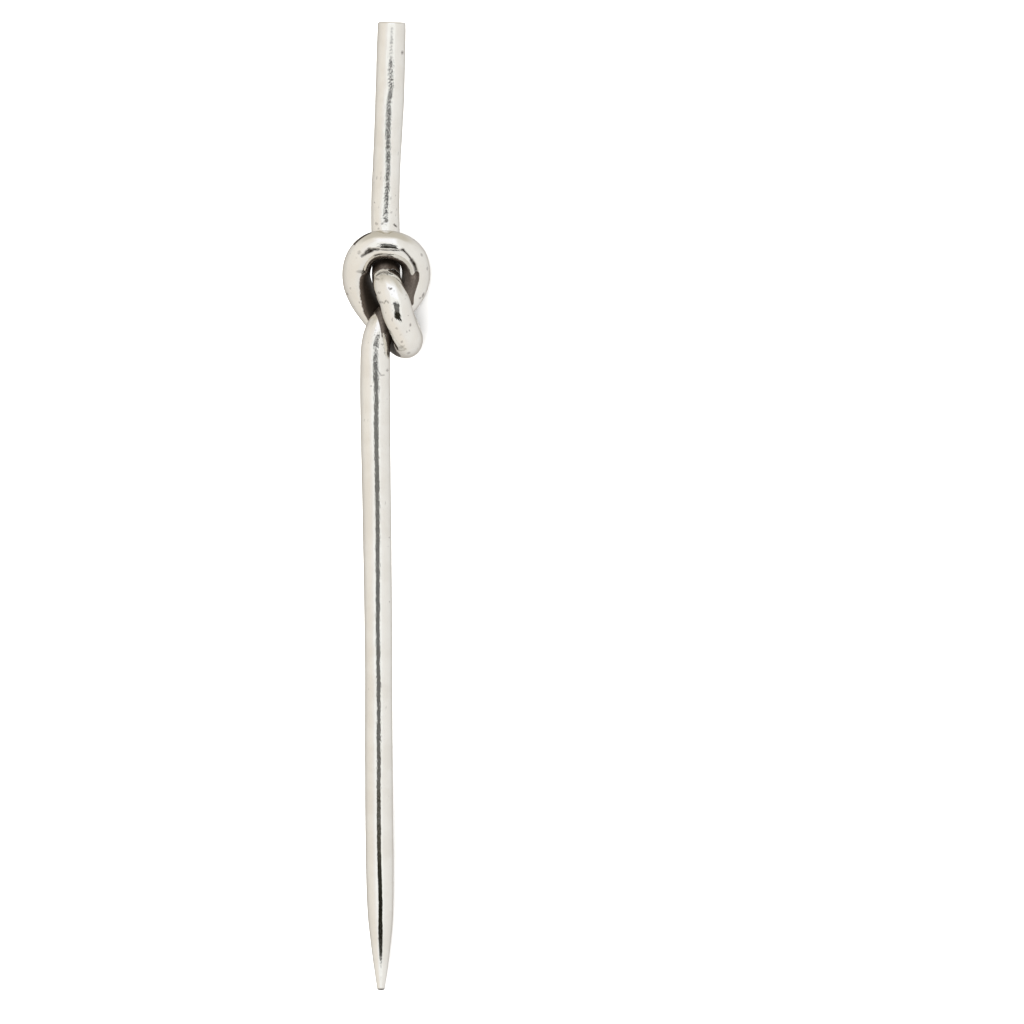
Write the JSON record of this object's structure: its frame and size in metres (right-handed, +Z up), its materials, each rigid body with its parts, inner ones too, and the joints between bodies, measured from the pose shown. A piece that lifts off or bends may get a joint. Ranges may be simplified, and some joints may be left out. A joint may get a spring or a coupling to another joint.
{
  "type": "cocktail pick",
  "caption": "Metal cocktail pick: a polished rod tied in an overhand knot below its short handle, with a long straight shank that tapers to a blunt point.",
  "frame": {"origin": "centre of the bounding box at table height, with the pick lying as it comes to rest", "axes": "+Z up from the table, +Y along the pick from the point to the handle, +X to the right seen from above with the handle away"},
  "size_m": [0.0098, 0.1078, 0.0086],
  "materials": {
    "metal": "polished warm silver with small casting pits and dark patina in the recesses of the knot"
  },
  "bodies": {
    "root": {"pick": "metal"}
  },
  "joints": []
}
